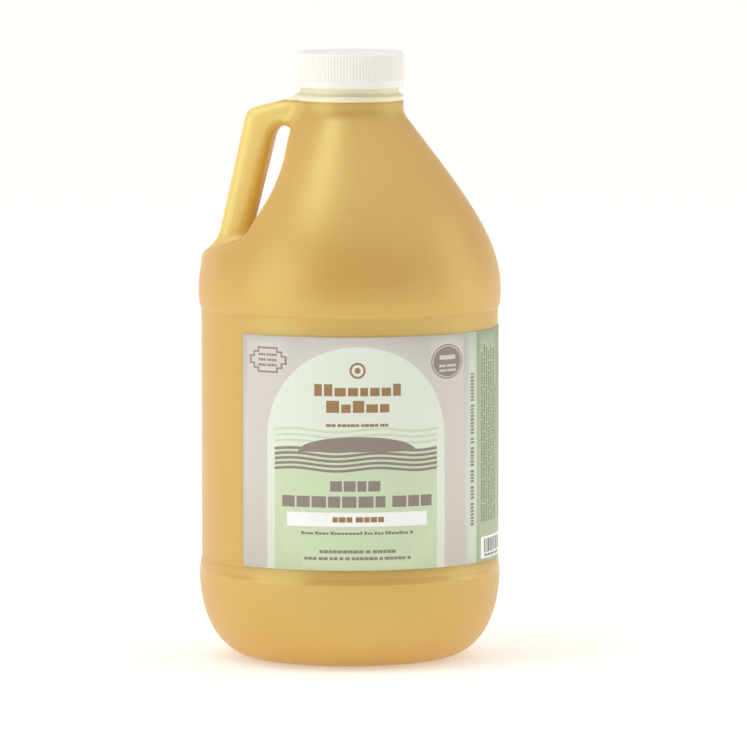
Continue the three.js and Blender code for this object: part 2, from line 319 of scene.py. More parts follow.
TURNED = OutlineField(upper_profile(), (-4, TABLE_LOW), (86, TABLE_HIGH))
GRIP = OutlineField(handle_outline(), (-90, TABLE_LOW), (20, TABLE_HIGH))
GAP = OutlineField(finger_gap_outline(), (-90, TABLE_LOW), (20, TABLE_HIGH))


def smooth_min(a, b, width):
    """The lesser of two fields, with a round fillet where they meet."""
    h = np.clip(0.5 + 0.5 * (b - a) / width, 0, 1)
    return b + (a - b) * h - width * h * (1 - h)


def handle_field(p):
    """Signed distance, near the surface, to the handle: its outline, extruded with round corners."""
    side = GRIP(p[..., 0], p[..., 2]) + HANDLE_CORNER
    front = np.abs(p[..., 1]) - (HANDLE_HALF_WIDTH - HANDLE_CORNER)
    return (np.hypot(np.maximum(side, 0), np.maximum(front, 0))
            + np.minimum(np.maximum(side, front), 0) - HANDLE_CORNER)


def shoulder_field(p):
    """Signed distance, near the surface, to the jug's shoulder, handle and collar."""
    x, y, z = p[..., 0], p[..., 1], p[..., 2]
    body = TURNED(np.hypot(x, y), z)
    scooped = -smooth_min(-body, GAP(x, z), SCOOP_ROUNDING)
    return smooth_min(scooped, handle_field(p), np.interp(z, FILLET_HEIGHTS, FILLETS))


def gradient(field, p):
    """Slope of a field, taken over a short distance to both sides of each point."""
    reach = 0.15
    slopes = []
    for axis in range(3):
        step = np.zeros(3)
        step[axis] = reach
        slopes.append((field(p + step) - field(p - step)) / (2 * reach))
    return np.stack(slopes, axis=-1)


def surface_nets(field, low, high, step):
    """Vertices and quads of a field's zero surface, one vertex in each grid cell it crosses."""
    axes = [np.arange(l, h + step / 2, step) for l, h in zip(low, high)]
    counts = [len(a) for a in axes]
    values = np.empty(counts)
    for k, z in enumerate(axes[2]):
        x, y = np.meshgrid(axes[0], axes[1], indexing="ij")
        values[:, :, k] = field(np.stack([x, y, np.full_like(x, z)], axis=-1))

    # Each cell's vertex is the mean of the points where the surface crosses the cell's edges.
    cells = [n - 1 for n in counts]
    total = np.zeros(cells + [3])
    hits = np.zeros(cells)
    crossings = []
    for axis in range(3):
        first = [slice(None)] * 3
        second = [slice(None)] * 3
        first[axis], second[axis] = slice(0, -1), slice(1, None)
        a, b = values[tuple(first)], values[tuple(second)]
        crossed = (a < 0) != (b < 0)
        crossings.append((crossed, a < 0))
        share = np.where(crossed, a / np.where(crossed, a - b, 1), 0)
        grids = np.meshgrid(*[axes[n][:-1] if n == axis else axes[n] for n in range(3)], indexing="ij")
        point = np.stack(grids, axis=-1)
        point[..., axis] += share * step
        others = [n for n in range(3) if n != axis]
        for du in (0, 1):
            for dv in (0, 1):
                take = [slice(None)] * 3
                take[others[0]] = slice(du, du + cells[others[0]])
                take[others[1]] = slice(dv, dv + cells[others[1]])
                mask = crossed[tuple(take)]
                total += point[tuple(take)] * mask[..., None]
                hits += mask
    active = hits > 0
    number = np.full(cells, -1)
    number[active] = np.arange(active.sum())
    vertices = total[active] / hits[active][:, None]

    # Each crossed edge gets a quad, between the vertices of the four cells round it.
    faces = []
    for axis in range(3):
        crossed, starts_inside = crossings[axis]
        u, v = [(1, 2), (2, 0), (0, 1)][axis]
        at = np.argwhere(crossed)
        at = at[(at[:, u] > 0) & (at[:, u] < cells[u]) & (at[:, v] > 0) & (at[:, v] < cells[v])]
        corners = []
        for du, dv in ((1, 1), (0, 1), (0, 0), (1, 0)):
            cell = at.copy()
            cell[:, u] -= du
            cell[:, v] -= dv
            corners.append(number[cell[:, 0], cell[:, 1], cell[:, 2]])
        quads = np.stack(corners, axis=1)
        outward = starts_inside[at[:, 0], at[:, 1], at[:, 2]]
        quads[~outward] = quads[~outward][:, ::-1]
        faces.append(quads)
    return vertices, np.vstack(faces)


def relax(vertices, quads, field, rounds):
    """Evens out the vertices over the surface, and puts them back on it.

    Vertices on the mesh's open edges keep their spacing; their numbers are returned too.
    """
    pairs = np.vstack([quads[:, [i, (i + 1) % 4]] for i in range(4)])
    edges, uses = np.unique(np.sort(pairs, axis=1), axis=0, return_counts=True)
    rim = np.zeros(len(vertices), bool)
    rim[edges[uses == 1].ravel()] = True
    for turn in range(rounds):
        if turn < rounds - 1:
            total = np.zeros_like(vertices)
            count = np.zeros(len(vertices))
            for a, b in ((0, 1), (1, 0)):
                np.add.at(total, edges[:, a], vertices[edges[:, b]])
                np.add.at(count, edges[:, a], 1)
            target = total / count[:, None]
            vertices = np.where(rim[:, None], vertices, vertices + HALF_WAY * (target - vertices))
        for _ in range(2):
            slope = gradient(field, vertices)
            size = np.maximum((slope**2).sum(axis=1), LEAST_SLOPE)
            move = -(field(vertices) / size)[:, None] * slope
            vertices = vertices + np.clip(move, -LONGEST_MOVE, LONGEST_MOVE)
    return vertices, np.flatnonzero(rim)


def thread_offset(wall_out, start_z):
    """Radius offset of a helical ridge; wall_out is +1 on the neck and -1 inside the cap."""
    def offset(angle, height):
        raised = np.zeros(np.broadcast(angle, height).shape)
        around = np.mod(angle - THREAD_START, 2 * math.pi)
        length = THREAD_TURNS * 2 * math.pi
        for turn in range(math.ceil(THREAD_TURNS)):
            along = around + turn * 2 * math.pi
            centre = start_z + PITCH * along / (2 * math.pi)
            section = np.clip((THREAD_HALF_WIDTH - np.abs(height - centre)) / THREAD_FLANK, 0, 1)
            fade = np.clip(np.minimum(along, length - along) / THREAD_RUN_OUT, 0, 1)
            raised = np.maximum(raised, section * fade * (along < length))
        smooth = raised * raised * (3 - 2 * raised)
        return wall_out * THREAD_HEIGHT * smooth
    return offset


def build_jug():
    """The blow-moulded jug: base, heel, panel, shoulder with handle, neck and bore."""
    parts = Parts()
    lower = ring_points(lower_profile(), JUG_COLUMNS)
    x, y = lower[..., 0], lower[..., 1]
    lower[..., 2] -= PINCH_DEPTH * np.exp(-(y / PINCH_HALF_WIDTH) ** 2) * (np.hypot(x, y) < PINCH_R)
    low_rows = parts.rings(lower)
    parts.fan(low_rows[0], JUG_COLUMNS, (0, 0, PUSH_UP - PINCH_DEPTH), up=False)

    reach = SHOULDER_R + 2.5
    vertices, quads = surface_nets(shoulder_field, (-reach, -reach, SHOULDER_SEAM + SEAM_GAP),
                                   (reach, reach, NECK_SEAM - SEAM_GAP),
                                   CELL)
    vertices, rim = relax(vertices, quads, shoulder_field, rounds=5)
    start = parts.add(vertices, quads.tolist())
    at_top = vertices[rim, 2] > (SHOULDER_SEAM + NECK_SEAM) / 2

    outside = [(NECK_R, z) for z in np.arange(NECK_SEAM, LAND_Z - 0.6, NECK_STEP)]
    bore = line((BORE_R, LAND_Z - 1), (BORE_R, BORE_FLOOR + 0.1), count=12) + [(BORE_R * 0.6, BORE_FLOOR)]
    neck = ring_points(outside, JUG_COLUMNS, thread_offset(1, THREAD_START_Z))
    neck_rows = parts.rings(np.concatenate([neck, ring_points(RIM_EDGE + bore, JUG_COLUMNS)]))
    parts.fan(neck_rows[-1], JUG_COLUMNS, (0, 0, BORE_FLOOR), up=True)

    parts.zip_loops([low_rows[-1] + i for i in range(JUG_COLUMNS)], (start + rim[~at_top]).tolist())
    parts.zip_loops((start + rim[at_top]).tolist(), [neck_rows[0] + i for i in range(JUG_COLUMNS)])
    jug = make_object("jug_body", parts.vertices, parts.faces, [blown_plastic()])

    # Painted glow: 1 on the slender handle, fading to 0 over the body round its ends. There the colour is
    # made paler, as if light shone through the thin handle and lifted the shade on its inner side.
    handle_glow = np.clip(1 - handle_field(np.array(parts.vertices)) / HANDLE_GLOW_FADE, 0, 1)
    attribute = jug.data.attributes.new("handle_glow", "FLOAT", "POINT")
    attribute.data.foreach_set("value", handle_glow.astype(np.float32))
    return jug


# ---------------------------------------------------------- cap and its liner
def rib_wave(angle, height):
    """Radius of the cap's fine ribs: round ridges that fade out at both ends."""
    ridge = np.abs(np.cos(angle * RIB_COUNT / 2)) ** RIB_POWER
    low = np.clip((height - (CAP_BOTTOM + RIB_FOOT)) / RIB_FOOT_FADE, 0, 1)
    high = np.clip((CAP_TOP - RIB_HEAD - height) / RIB_HEAD_FADE, 0, 1)
    return RIB_DEPTH * ridge * low * high


def cap_outside():
    """The cap's outline, from the skirt's lower edge up to the sunk middle of its top."""
    r, sunk = CAP_R - RIB_DEPTH, CAP_TOP - CAP_TOP_SINK
    points = [(r - 0.35, CAP_BOTTOM), (r - 0.08, CAP_BOTTOM + 0.12), (r, CAP_BOTTOM + 0.4)]
    # Rings lie closer together where the ribs fade in and out.
    for low, high, count in ((CAP_BOTTOM + 1.2, CAP_BOTTOM + 3.1, 2),
                             (CAP_BOTTOM + RIB_FOOT, CAP_BOTTOM + 3.8, 3),
                             (CAP_BOTTOM + 5, CAP_TOP - 3, 6),
                             (CAP_TOP - 2.2, CAP_TOP - CAP_CORNER_R, 3)):
        points += line((r, low), (r, high), count)
    for turn in np.linspace(0, math.pi / 2, 9)[1:]:
        inward, below = CAP_CORNER_R * (1 - math.cos(turn)), CAP_CORNER_R * (1 - math.sin(turn))
        points.append((r - inward, CAP_TOP - below))
    return points + [(23.2, CAP_TOP), (22.9, CAP_TOP - 0.05), (22.5, CAP_TOP - 0.22), (22, sunk), (8, sunk)]


def cap_inside():
    """The cap's hollow, from its ceiling down to the skirt's lower edge."""
    ceiling = LINER_TOP + CEILING_GAP
    points = [(4, ceiling), (24, ceiling), (26.0, ceiling), (CAP_BORE_R, ceiling - 0.4)]
    points += [(CAP_BORE_R, z) for z in np.arange(ceiling - 1, CAP_BOTTOM + 0.6, -CAP_BORE_STEP)]
    return points + [(CAP_BORE_R, CAP_BOTTOM + 0.3), (CAP_BORE_R + 0.1, CAP_BOTTOM + 0.08)]


def build_cap():
    """The screw cap, hollow, with its ribs outside and its thread inside."""
    parts = Parts()
    rows = parts.rings(ring_points(cap_outside(), CAP_COLUMNS, rib_wave))
    parts.fan(rows[-1], CAP_COLUMNS, (0, 0, CAP_TOP - CAP_TOP_SINK), up=True)

    # These rings run downwards, so their faces look into the hollow.
    inside = cap_inside()
    thread = thread_offset(-1, THREAD_START_Z + PITCH / 2)
    inner_rows = parts.rings(ring_points(inside, CAP_BORE_COLUMNS, thread))
    parts.fan(inner_rows[0], CAP_BORE_COLUMNS, (0, 0, inside[0][1]), up=False)
    parts.zip_loops([inner_rows[-1] + i for i in range(CAP_BORE_COLUMNS)],
                    [rows[0] + i for i in range(CAP_COLUMNS)])
    return make_object("screw_cap", parts.vertices, parts.faces, [cap_plastic()])


def build_liner():
    """The sealing disc, with the ring that the neck's rim presses into it."""
    pressed = LINER_BOTTOM + RIM_MARK_DEPTH
    outline = [(8, LINER_BOTTOM), (22.6, LINER_BOTTOM), (23.1, pressed), (24.6, pressed),
               (25.0, LINER_BOTTOM), (LINER_R - 0.15, LINER_BOTTOM), (LINER_R, LINER_BOTTOM + 0.2),
               (LINER_R, LINER_TOP - 0.2), (LINER_R - 0.15, LINER_TOP), (8, LINER_TOP)]
    parts = Parts()
    rows = parts.rings(ring_points(outline, LINER_COLUMNS))
    parts.fan(rows[0], LINER_COLUMNS, (0, 0, LINER_BOTTOM), up=False)
    parts.fan(rows[-1], LINER_COLUMNS, (0, 0, LINER_TOP), up=True)
    return make_object("sealing_disc", parts.vertices, parts.faces, [liner_foam()])


# --------------------------------------------------------------- node helpers
class Nodes:
    """A node tree, with short ways to add and join nodes."""

    def __init__(self, tree):
        self.tree = tree

    def add(self, kind, **settings):
        node = self.tree.nodes.new(kind)
        for key, value in settings.items():
            setattr(node, key, value)
        return node

    def feed(self, socket, value):
        """Sets a socket to a number, a vector or a colour, or joins another node's output to it."""
        if isinstance(value, (int, float)):
            socket.default_value = value
        elif isinstance(value, tuple):
            socket.default_value = (*value, 1) if socket.type == "RGBA" else value
        else:
            self.tree.links.new(value, socket)

    def coordinates(self):
        return self.add("ShaderNodeTexCoord").outputs["Object"]

    def math(self, operation, *values):
        node = self.add("ShaderNodeMath", operation=operation)
        for socket, value in zip(node.inputs, values):
            self.feed(socket, value)
        return node.outputs[0]

    def noise(self, scale, detail=2.0, roughness=0.5):
        node = self.add("ShaderNodeTexNoise")
        self.feed(node.inputs["Scale"], scale)
        self.feed(node.inputs["Detail"], detail)
        self.feed(node.inputs["Roughness"], roughness)
        self.feed(node.inputs["Vector"], self.coordinates())
        return node.outputs["Fac"]

    def ramp(self, value, source, result, interpolation="LINEAR"):
        """Carries a value from the range source over to the range result, and holds it there."""
        node = self.add("ShaderNodeMapRange", interpolation_type=interpolation, clamp=True)
        for name, bound in zip(("From Min", "From Max", "To Min", "To Max"), (*source, *result)):
            self.feed(node.inputs[name], bound)
        self.feed(node.inputs["Value"], value)
        return node.outputs["Result"]

    def mix(self, share, first, second):
        """A blend of two colours."""
        node = self.add("ShaderNodeMix", data_type="RGBA")
        for name, value in (("Factor", share), ("A", first), ("B", second)):
            self.feed(node.inputs[name], value)
        return node.outputs["Result"]

    def bump(self, height, strength, distance, under=None):
        node = self.add("ShaderNodeBump")
        self.feed(node.inputs["Strength"], strength)
        self.feed(node.inputs["Distance"], distance)
        self.feed(node.inputs["Height"], height)
        if under is not None:
            self.feed(node.inputs["Normal"], under)
        return node.outputs["Normal"]


class Surface(Nodes):
    """A new material's node tree, with its Principled shader."""

    def __init__(self, name):
        self.material = bpy.data.materials.new(name)
        self.material.use_nodes = True
        super().__init__(self.material.node_tree)
        self.shader = self.tree.nodes["Principled BSDF"]

    def set(self, **values):
        for name, value in values.items():
            self.feed(self.shader.inputs[name.replace("_", " ")], value)


def srgb(red, green, blue):
    """A colour given as 0 to 255 screen values, in the linear values that nodes take."""
    return tuple(((c / 255 + 0.055) / 1.055) ** 2.4 if c > 10 else c / 255 / 12.92
                 for c in (red, green, blue))


# ------------------------------------------------------------------ materials
# Pairs are the two shades that a faint cloud mixes.
FILLED = srgb(212, 167, 90), srgb(217, 172, 96)
# The handle's tint is partly the thinner oil's paler gold, and partly a painted glow of light shining
# through the handle.
HANDLE_GLOW_TINT, MENISCUS, EMPTY = srgb(236, 206, 128), srgb(196, 140, 62), srgb(253, 243, 212)
CAP_WHITE = srgb(250, 247, 242), srgb(253, 250, 246)
FOAM = srgb(236, 232, 222), srgb(244, 240, 232)
OIL = srgb(214, 164, 70), srgb(226, 178, 84)
NOISE_BODY = (0.3, 0.7)  # the range that most of a noise's values lie in


def blown_plastic():
    """Natural polyethylene: golden where oil stands behind it, paler on the handle as a painted glow, and
    cream above the fill line.
    """
    n = Surface("jug_plastic")
    place = n.add("ShaderNodeSeparateXYZ")
    n.feed(place.inputs[0], n.coordinates())
    height = place.outputs["Z"]
    edge = OIL_LEVEL * MM
    cloud = n.ramp(n.noise(scale=14, detail=3), NOISE_BODY, (0, 1))
    handle_glow = n.add("ShaderNodeAttribute", attribute_name="handle_glow").outputs["Fac"]
    # Painted glow: the handle is mixed towards its paler tint, as if lit through and lifted out of its own
    # shade.
    filled = n.mix(handle_glow, n.mix(cloud, *FILLED), HANDLE_GLOW_TINT)
    # A thin, darker line lies just under the fill line.
    near_edge = n.math("ABSOLUTE", n.math("SUBTRACT", height, edge - 0.0006))
    meniscus = n.ramp(near_edge, (0.0003, 0.0009), (1, 0))
    empty = n.ramp(height, (edge - 0.0001, edge + 0.0002), (0, 1))
    colour = n.mix(n.math("MULTIPLY", meniscus, 0.6), filled, MENISCUS)
    colour = n.mix(empty, colour, EMPTY)

    grain = n.noise(scale=2600)
    swell = n.noise(scale=42)
    parting_line = n.ramp(n.math("ABSOLUTE", place.outputs["Y"]), (0.0001, 0.0005), (1, 0))
    normal = n.bump(swell, strength=0.25, distance=0.0006)
    normal = n.bump(grain, strength=0.12, distance=0.0001, under=normal)
    normal = n.bump(parting_line, strength=0.5, distance=0.0002, under=normal)

    # The bumper's crest is smoother than the rest.
    from_crest = n.math("ABSOLUTE", n.math("SUBTRACT", height, (HEEL_CREST + 1.6) * MM))
    polish = n.ramp(from_crest, (0.001, 0.003), (0.14, 0))
    roughness = n.math("SUBTRACT", n.ramp(grain, NOISE_BODY, (0.33, 0.39)), polish)
    facing = n.add("ShaderNodeLayerWeight").outputs["Facing"]
    n.set(Base_Color=colour, Normal=normal, Roughness=roughness, IOR=1.8,
          Specular_IOR_Level=n.ramp(facing, (0.15, 0.95), (1.0, 0.08)), Specular_Tint=(0.92, 1.0, 0.45),
          Subsurface_Weight=n.ramp(empty, (0, 1), (0.8, 0.12)), Subsurface_Scale=0.02,
          Subsurface_Radius=(0.9, 0.75, 0.5))
    return n.material


def cap_plastic():
    """White moulded polypropylene, with a fine satin grain."""
    n = Surface("cap_plastic")
    grain = n.noise(scale=3200)
    cloud = n.ramp(n.noise(scale=60), NOISE_BODY, (0, 1))
    n.set(Base_Color=n.mix(cloud, *CAP_WHITE), Normal=n.bump(grain, strength=0.15, distance=0.0001),
          Roughness=n.ramp(grain, NOISE_BODY, (0.36, 0.46)), IOR=1.49)
    return n.material


def liner_foam():
    """The sealing disc's closed-cell foam."""
    n = Surface("liner_foam")
    cells = n.add("ShaderNodeTexVoronoi")
    n.feed(cells.inputs["Scale"], 1600)
    n.feed(cells.inputs["Vector"], n.coordinates())
    n.set(Base_Color=n.mix(n.noise(scale=300), *FOAM), Roughness=0.8,
          Normal=n.bump(cells.outputs["Distance"], strength=0.3, distance=0.0002))
    return n.material


def oil_surface():
    """Golden oil, glossy where it can be looked into."""
    n = Surface("golden_oil")
    n.set(Base_Color=n.mix(n.noise(scale=30), *OIL), Roughness=0.06, IOR=1.47, Coat_Weight=0.3,
          Normal=n.bump(n.noise(scale=60, detail=1), strength=0.05, distance=0.0005),
          Subsurface_Weight=0.4, Subsurface_Scale=0.008, Subsurface_Radius=(1.0, 0.6, 0.2))
    return n.material


def printed(name, colour):
    """Ink on satin label stock."""
    n = Surface("print_" + name)
    fibre = n.noise(scale=900, detail=3, roughness=0.6)
    fleck = n.noise(scale=5000, detail=1)
    shade = tuple(c * 0.965 for c in colour)
    n.set(Base_Color=n.mix(n.ramp(fibre, NOISE_BODY, (0, 1)), shade, colour), IOR=1.45,
          Normal=n.bump(fleck, strength=0.08, distance=0.00005),
          Roughness=n.ramp(fibre, NOISE_BODY, (0.46, 0.54)))
    return n.material


# -------------------------------------------------------------- label artwork
# Flat artwork in millimetres: s runs along the label from its left edge, and t up from its lower edge.
LABEL_WIDTH = LABEL_R * LABEL_SPAN
LABEL_HEIGHT = LABEL_TOP - LABEL_BOTTOM
CUT_DEGREES, MERGE_DISTANCE = 2, 1e-5
FRONT = 62.6  # s of the front panel's centre line
GREY_END, STRIP_END = 125.0, 134.1  # s where the grey front and the pale strip end
PANEL_LEFT, PANEL_RIGHT = 19.8, 104.8
ARCH_HALF_WIDTH, ARCH_RISE, ARCH_TOP = 47.1, 46.158, 111.2
RING_T, RING_RADII = 99.5, (("brown", 4.0), ("pale_green", 2.9), ("brown", 1.5))
WHITE_BAND = (26.6, 21.9, 98.7, 28.9)
FIELD_TOP, WAVE_HEIGHT = 52, 0.8
HILL_HALF_WIDTH, HILL_HEIGHT, HILL_FOOT = 30, 7.6, 59

# Bands of the pattern, as the heights of their lower and upper edges
GREEN_BANDS = [(50, 61.2)] + [(63.4 + 2.9 * i, 64.5 + 2.9 * i) for i in range(3)]
TAUPE_BANDS = [(49.6 + 2.45 * i, 50.95 + 2.45 * i) for i in range(5)]

# Set type: gaps and low letters as shares of its size, letter widths against each other, and
# the share of low letters
LETTER_GAP, WORD_GAP, LOW_HEIGHT = 0.17, 0.62, 0.7
LETTER_WIDTHS, LOW_SHARE = (0.75, 1.25), 0.7

# Lines of set type, as (start, end, foot, head, letters in each word, ink, mixed)
UPPER_TYPE = [
    (41, 84.5, 86.8, 92.8, [8], "brown", True),
    (47, 78.5, 78.6, 84.6, [5], "brown", True),
    (47, 78, 71.6, 73.0, [2, 5, 4, 2], "brown", False),
    (49, 74, 39.4, 44.6, [4], "taupe", False),
    (24, 101.6, 31.4, 37.0, [7, 3], "taupe", False),
]
LOWER_TYPE = [
    (50.2, 75.8, 24.0, 26.7, [3, 4], "brown", False),
    (34.2, 91, 17.9, 19.4, [4, 4, 9, 3, 3, 7, 1], "fine_text", True),
    (43.6, 81.8, 8.6, 10.2, [9, 1, 5], "taupe", False),
    (35.8, 89.8, 5.2, 6.7, [3, 2, 2, 1, 1, 6, 1, 5, 1], "taupe", False),
]
STRIP_TYPE = (19, 95.5, 128.6, 131.6, [7, 4, 4, 6, 2, 9, 9], "taupe")

# The badges: a stepped plaque, as half widths and half heights, and a round seal
PLAQUE, SEAL = (15.6, 104), (111.6, 102.6)  # their centres
PLAQUE_STEPS = (("taupe", ((11.0, 2.2), (8.6, 4.4), (6.0, 6.4))),
                ("grey", ((9.8, 1.4), (7.6, 3.6), (5.0, 5.5))))
SEAL_RINGS = (("taupe", 10.3, 0.84), ("grey", 9.6, 0.83), ("taupe", 9.0, 0.83))
SEAL_BAR = (106.4, 103.6, 116.8, 105.8)
BADGE_TYPE = 1.2  # size of the small type on both
PLAQUE_SPAN, PLAQUE_ROWS = (10.2, 21.0), (106.0, 103.4, 100.8)
SEAL_SPAN, SEAL_ROWS = (106.2, 117.0), (99.9, 97.6)

# The side's small print, as the s of each block's first line and its number of lines
PARAGRAPHS = ((138.6, 8), (166, 9), (192, 11), (224, 8))
PRINT_FOOT, PRINT_HEAD, PRINT_PITCH, PRINT_HEIGHT = 20, 109, 2.7, 1.6
RAGGED, LAST_LINE_RAGGED = 6, 40  # how far short of the head a line may stop
CODE_BOX = (138.6, 1.5, 170, 12.4)
CODE_LEFT, CODE_RIGHT, CODE_FOOT, CODE_HEAD = 142.0, 167, 4.2, 11.2
BAR_WIDTHS, BAR_GAPS = [0.5, 1.0, 1.5], [0.5, 0.9]
DIGIT_LEFT, DIGIT_PITCH, DIGIT_WIDTH, DIGIT_FOOT, DIGIT_HEAD, DIGITS = 142.5, 2.2, 1.4, 2.2, 3.6, 11

INKS = {
    "backing": srgb(236, 236, 230),
    "grey": srgb(217, 212, 206),
    "pale_green": srgb(233, 240, 226),
    "panel_green": srgb(211, 226, 190),
    "strip_green": srgb(216, 225, 207),
    "dark_green": srgb(180, 194, 162),
    "taupe": srgb(150, 138, 129),
    "brown": srgb(163, 129, 87),
    "white": srgb(255, 255, 254),
    "black": srgb(52, 48, 44),
    "fine_text": srgb(132, 136, 112),
}
LETTERS = np.random.default_rng(3)  # varies the widths and heights of the set type's blocks
SMALL_PRINT = np.random.default_rng(7)  # varies the side's lines, and the bars of the code


def rectangle(s0, t0, s1, t1):
    return [(s0, t0), (s1, t0), (s1, t1), (s0, t1)]


def circle(s, t, radius, squash=1.0):
    turns = [2 * math.pi * i / 40 for i in range(40)]
    return [(s + radius * math.cos(turn), t + squash * radius * math.sin(turn)) for turn in turns]


def words(start, end, foot, head, lengths, ink, mixed=False, upright=False):
    """A line of set type as plain blocks: words of the given lengths, one block for each letter.

    Mixed type has low letters as well as tall ones.
    """
    size = head - foot
    letter_gap, word_gap = LETTER_GAP * size, WORD_GAP * size
    widths = [LETTERS.uniform(*LETTER_WIDTHS, length) for length in lengths]
    taken = letter_gap * sum(length - 1 for length in lengths) + word_gap * (len(lengths) - 1)
    scale = (end - start - taken) / sum(width.sum() for width in widths)
    shapes = []
    at = start
    for word in widths:
        for i, width in enumerate(word):
            stop = at + width * scale
            low = mixed and i > 0 and LETTERS.random() < LOW_SHARE
            top = foot + LOW_HEIGHT * size if low else head
            box = (foot, at, top, stop) if upright else (at, foot, stop, top)
            shapes.append((ink, rectangle(*box)))
            at = stop + letter_gap
        at += word_gap - letter_gap
    return shapes


def arch():
    """The front's round-headed panel."""
    points = [(FRONT - ARCH_HALF_WIDTH, 0), (FRONT + ARCH_HALF_WIDTH, 0)]
    for turn in np.linspace(0, math.pi, 37).tolist():
        points.append((FRONT + ARCH_HALF_WIDTH * math.cos(turn),
                       ARCH_TOP - ARCH_RISE + ARCH_RISE * math.sin(turn)))
    return points


def band(low, high):
    """A level band of the pattern, with two crests between the panel's sides."""
    s = np.linspace(PANEL_LEFT, PANEL_RIGHT, 44)
    wave = WAVE_HEIGHT * np.sin(4 * math.pi * (s - PANEL_LEFT) / (PANEL_RIGHT - PANEL_LEFT))
    return (list(zip(s.tolist(), (low + wave).tolist()))
            + list(zip(s[::-1].tolist(), (high + wave[::-1]).tolist())))


def hills():
    """A plain pattern: even waves, with the top of a round hill behind them."""
    shapes = [("panel_green", rectangle(PANEL_LEFT, 0, PANEL_RIGHT, FIELD_TOP))]
    shapes += [("panel_green", band(*edges)) for edges in GREEN_BANDS]
    hilltop = [(FRONT + HILL_HALF_WIDTH * math.cos(turn), HILL_FOOT + HILL_HEIGHT * math.sin(turn))
               for turn in np.linspace(0, math.pi, 30)]
    shapes.append(("taupe", hilltop))
    return shapes + [("taupe", band(*edges)) for edges in TAUPE_BANDS]


def front_panel():
    """The arch with its pattern, a ring for a mark, and the front's lines of type."""
    shapes = [("pale_green", arch())] + hills()
    shapes += [(ink, circle(FRONT, RING_T, radius)) for ink, radius in RING_RADII]
    for row in UPPER_TYPE:
        shapes += words(*row)
    shapes.append(("white", rectangle(*WHITE_BAND)))
    for row in LOWER_TYPE:
        shapes += words(*row)
    return shapes


def badges():
    """A stepped plaque and a round seal, each with rows of small type."""
    shapes = []
    s, t = PLAQUE
    for ink, steps in PLAQUE_STEPS:
        shapes += [(ink, rectangle(s - half_s, t - half_t, s + half_s, t + half_t))
                   for half_s, half_t in steps]
    for foot in PLAQUE_ROWS:
        shapes += words(*PLAQUE_SPAN, foot, foot + BADGE_TYPE, [3, 4], "taupe")
    shapes += [(ink, circle(*SEAL, radius, squash)) for ink, radius, squash in SEAL_RINGS]
    shapes.append(("grey", rectangle(*SEAL_BAR)))
    for foot in SEAL_ROWS:
        shapes += words(*SEAL_SPAN, foot, foot + BADGE_TYPE, [3, 4], "grey")
    return shapes


def side_panel():
    """The strip and the dark side, with small print, and a bar code that holds no number."""
    shapes = [("strip_green", rectangle(GREY_END, 0, STRIP_END, LABEL_HEIGHT)),
              ("dark_green", rectangle(STRIP_END, 0, LABEL_WIDTH, LABEL_HEIGHT))]
    shapes += words(*STRIP_TYPE, upright=True)
    for first, lines in PARAGRAPHS:
        for row in range(lines):
            s = first + PRINT_PITCH * row
            ragged = LAST_LINE_RAGGED if row == lines - 1 else RAGGED
            stop = PRINT_HEAD - float(SMALL_PRINT.uniform(0, ragged))
            lengths = [int(v) for v in SMALL_PRINT.integers(3, 9, 10)]
            shapes += words(PRINT_FOOT, stop, s, s + PRINT_HEIGHT, lengths, "fine_text", upright=True)
    shapes.append(("white", rectangle(*CODE_BOX)))
    at = CODE_LEFT
    while at < CODE_RIGHT:
        width = float(SMALL_PRINT.choice(BAR_WIDTHS))
        shapes.append(("black", rectangle(at, CODE_FOOT, at + width, CODE_HEAD)))
        at += width + float(SMALL_PRINT.choice(BAR_GAPS))
    for digit in range(DIGITS):
        s = DIGIT_LEFT + DIGIT_PITCH * digit
        shapes.append(("black", rectangle(s, DIGIT_FOOT, s + DIGIT_WIDTH, DIGIT_HEAD)))
    return shapes


def build_label():
    """The wrap-around label: artwork cut into faces and wound onto the panel."""
    sheet = rectangle(0, 0, LABEL_WIDTH, LABEL_HEIGHT)
    shapes = [("grey", sheet)] + front_panel() + badges() + side_panel()
    points, outlines = [], []
    for _, outline in shapes:
        outlines.append(list(range(len(points), len(points) + len(outline))))
        points += [Vector(p) for p in outline]
    # Upright cuts let the flat faces follow the round panel.
    cuts = []
    count = int(math.degrees(LABEL_SPAN) / CUT_DEGREES)
    for i in range(1, count):
        s = LABEL_WIDTH * i / count
        cuts.append((len(points), len(points) + 1))
        points += [Vector((s, 0)), Vector((s, LABEL_HEIGHT))]
    flat, _, faces, _, _, sources = delaunay_2d_cdt(points, cuts, outlines, 1, MERGE_DISTANCE)
    names = list(INKS)
    inks = [names.index(shapes[max(source)][0]) if source else 0 for source in sources]
    flat = np.array([tuple(v) for v in flat])
    faces = [tuple(face) for face in faces]

    def wound(radius):
        angle = LABEL_START + flat[:, 0] / LABEL_R - math.pi / 2
        return np.stack([radius * np.cos(angle), radius * np.sin(angle), LABEL_BOTTOM + flat[:, 1]], axis=1)

    # A dict keeps the order of the edges, where a set would not.
    edges = dict.fromkeys((a, b) for face in faces for a, b in zip(face, face[1:] + face[:1]))
    rim = [(a, b) for a, b in edges if (b, a) not in edges]
    count = len(flat)
    back = [tuple(count + i for i in reversed(face)) for face in faces]
    side = [(b, a, count + a, count + b) for a, b in rim]
    vertices = np.vstack([wound(LABEL_R + LABEL_HALF_THICKNESS), wound(LABEL_R - LABEL_HALF_THICKNESS)])
    inks += [names.index("backing")] * (len(back) + len(side))
    materials = [printed(name, colour) for name, colour in INKS.items()]
    return make_object("printed_label", vertices, faces + back + side, materials, inks)


# --------------------------------------------------------------------- stage
FLOOR_REACH, FLOOR_DROP = 100000, 0.0002
FRONT_DIRECTION = (0.17, -0.98, 0.0)
ROOM_LIGHT, FRONT_LIGHT, CEILING_LIGHT, HORIZON_LIGHT = 0.57, 0.32, 1.12, 1.0
LIGHT_AIM = (0, 0, 0.15)

